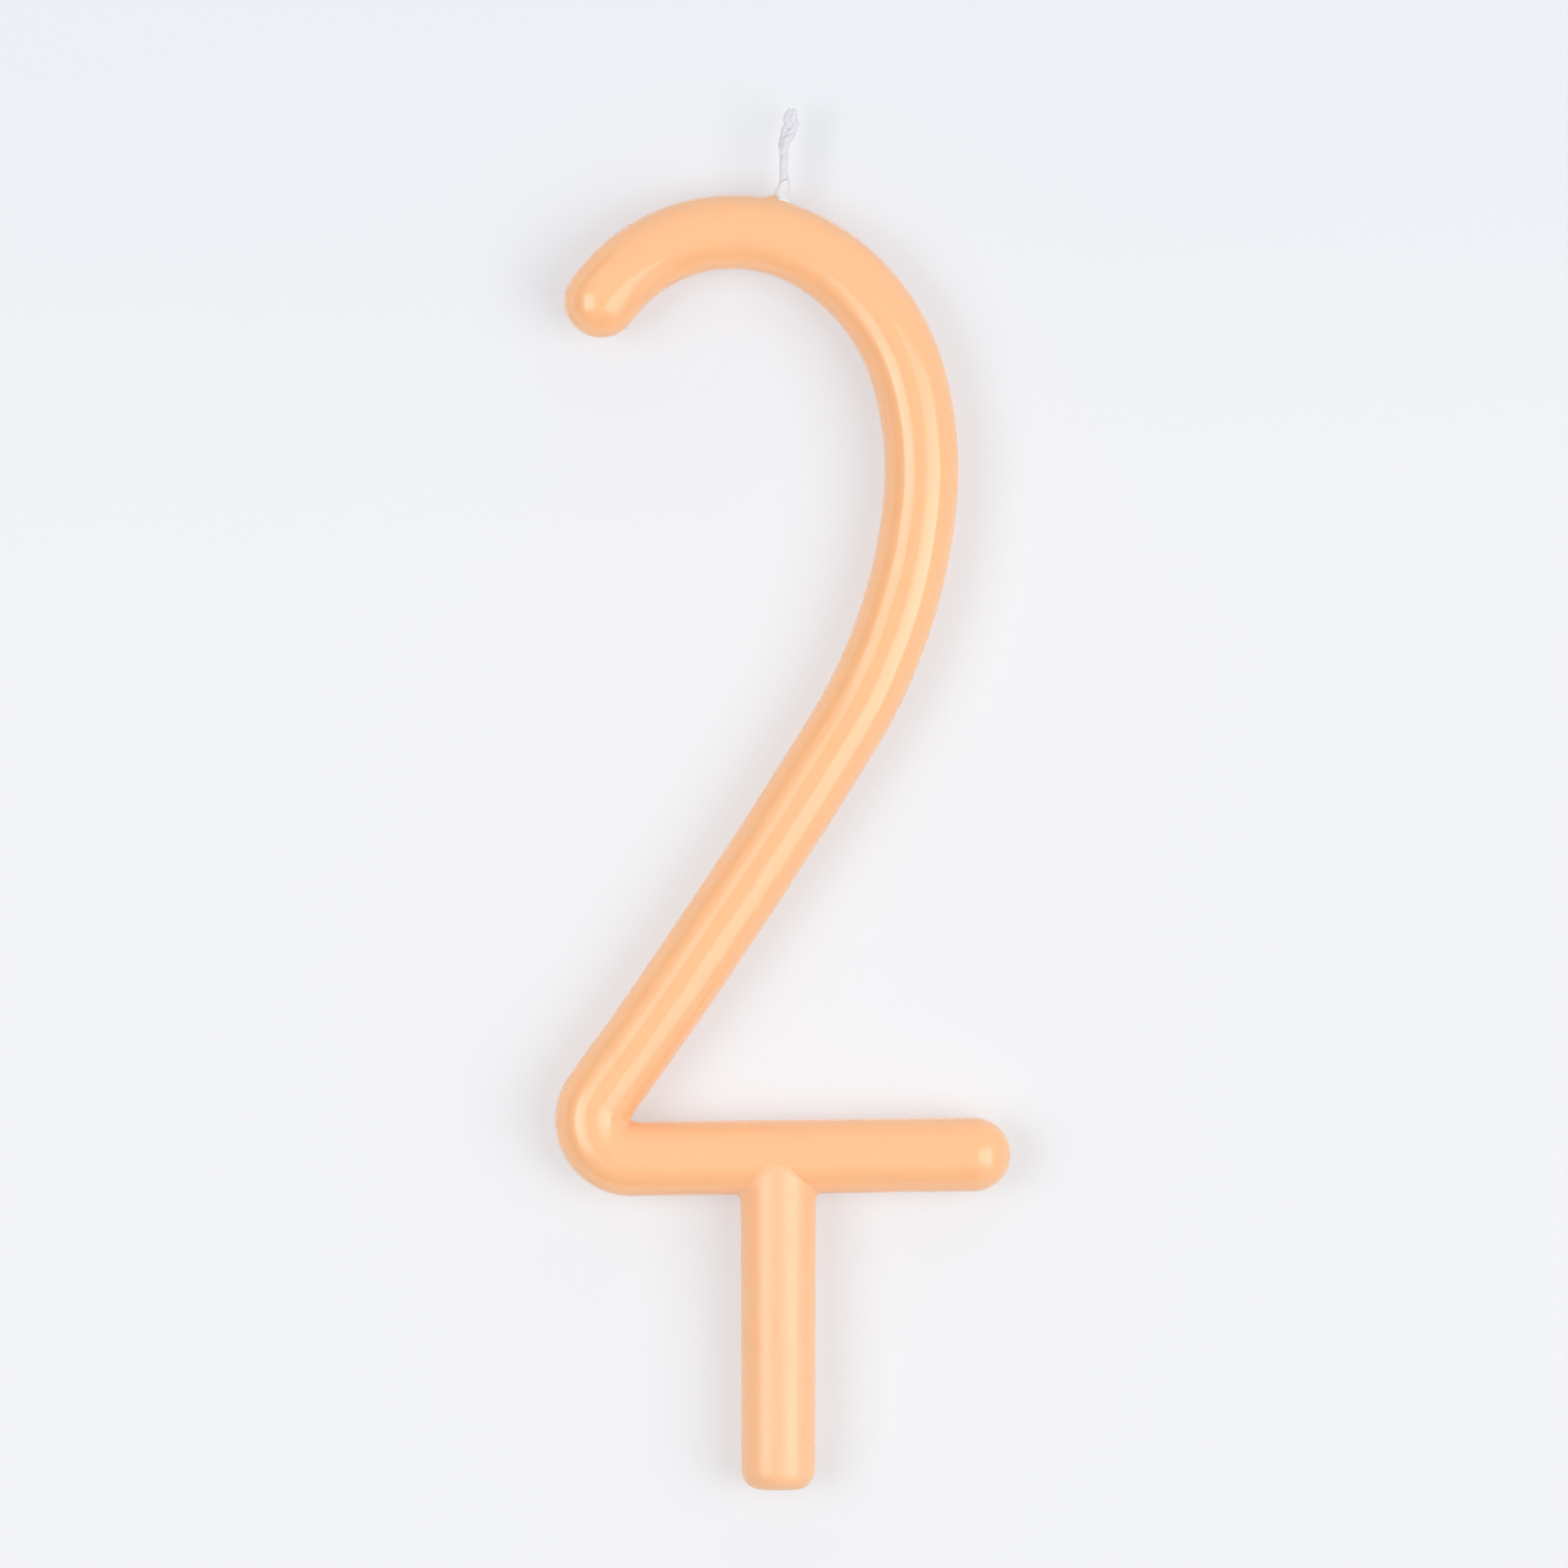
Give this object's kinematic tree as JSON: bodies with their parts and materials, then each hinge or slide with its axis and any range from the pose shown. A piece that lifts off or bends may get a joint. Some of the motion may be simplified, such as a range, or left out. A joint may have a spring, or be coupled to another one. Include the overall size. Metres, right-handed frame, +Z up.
{
  "type": "number candle",
  "caption": "Tall number candle: a figure 2 bent from a round wax rod, on a coped wax stem that is pushed into a cake, with a braided cotton wick at the crown.",
  "frame": {"origin": "middle of the flat face at the stem's tip", "axes": "+Z up along the stem to the wick, +X to the right of the figure as it is read, -Y towards the reader"},
  "size_m": [0.0488, 0.0082, 0.148],
  "materials": {
    "peach_wax": "glossy peach paraffin wax, slightly translucent",
    "cotton_wick": "white cotton, braided flat and waxed",
    "white_wax": "white sealing wax, satin"
  },
  "bodies": {
    "root": {"digit": "peach_wax", "stem": "peach_wax", "wick": "cotton_wick", "wick_seal": "white_wax"}
  },
  "joints": []
}
